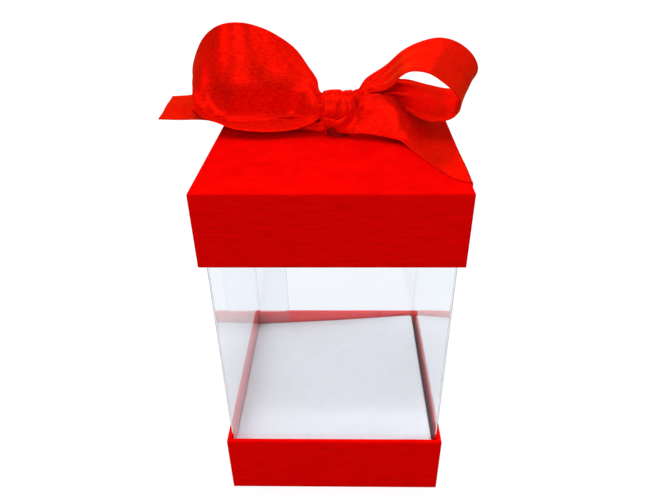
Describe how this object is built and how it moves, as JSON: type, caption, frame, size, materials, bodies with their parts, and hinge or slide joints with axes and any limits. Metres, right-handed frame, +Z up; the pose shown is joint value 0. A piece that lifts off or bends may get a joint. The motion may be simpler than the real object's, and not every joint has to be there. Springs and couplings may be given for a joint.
{
  "type": "favor box",
  "caption": "Tall square gift box: clear sleeve standing in a paper-covered tray, matching lift-off lid with a tied satin ribbon bow, white card false floor inside.",
  "frame": {"origin": "centre of the foot, on the surface that the box stands on", "axes": "+Z up, -Y towards the front panel, +X towards the loop that shows a gap"},
  "size_m": [0.1189, 0.0818, 0.1624],
  "materials": {
    "board": "matt grey board",
    "stay_tape": "kraft paper tape",
    "red_paper": "matt, finely grained",
    "clear_film": "clear gloss",
    "glue": "translucent",
    "white_card": "smooth matt",
    "satin": "satin"
  },
  "bodies": {
    "base": {"base_board": "board", "base_stays": "stay_tape", "base_wrap": "red_paper"},
    "insert": {"insert": "white_card"},
    "sleeve": {"sleeve": "clear_film", "flap_glue": "glue"},
    "lid": {"lid_board": "board", "lid_stays": "stay_tape", "lid_wrap": "red_paper", "glue_pad": "glue", "knot": "satin", "left_loop": "satin", "right_loop": "satin", "left_tail": "satin", "right_tail": "satin"}
  },
  "joints": [
    {"name": "sleeve_lift", "type": "slide", "parent": "base", "child": "sleeve", "axis": [0, 0, 1], "range_m": [0, 0.03]},
    {"name": "lid_lift", "type": "slide", "parent": "sleeve", "child": "lid", "axis": [0, 0, 1], "range_m": [0, 0.045]},
    {"name": "insert_lift", "type": "slide", "parent": "base", "child": "insert", "axis": [0, 0, 1], "range_m": [0, 0.09]}
  ]
}
